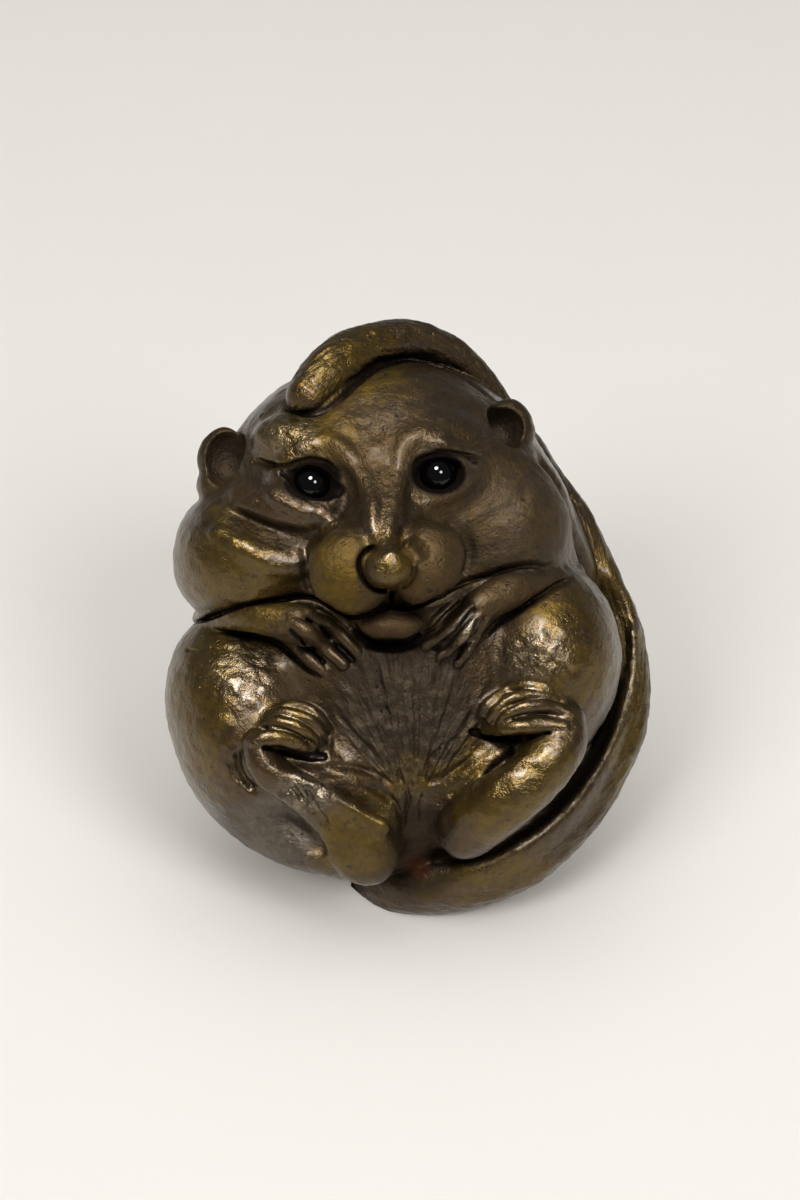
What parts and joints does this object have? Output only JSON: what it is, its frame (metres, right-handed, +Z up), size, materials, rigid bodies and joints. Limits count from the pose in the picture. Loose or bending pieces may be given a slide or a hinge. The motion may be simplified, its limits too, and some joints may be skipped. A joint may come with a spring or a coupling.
{
  "type": "dormouse sculpture",
  "caption": "Small cast bronze of a dormouse curled on its back, tail wrapped over its head, with glass bead eyes; a desk or shelf ornament.",
  "frame": {"origin": "centre of the box's underside, on the surface that the sculpture stands on", "axes": "+Z up; -Y the side that the face, belly and feet look to; +X the viewer's right"},
  "size_m": [0.0484, 0.0482, 0.0509],
  "materials": {
    "bronze": "cast bronze with a waxed olive-brown patina, worn to gold on the ridges and near black in the creases",
    "eye_glass": "polished opaque black glass"
  },
  "bodies": {
    "root": {"dormouse": "bronze", "left_eye": "eye_glass", "right_eye": "eye_glass"}
  },
  "joints": []
}
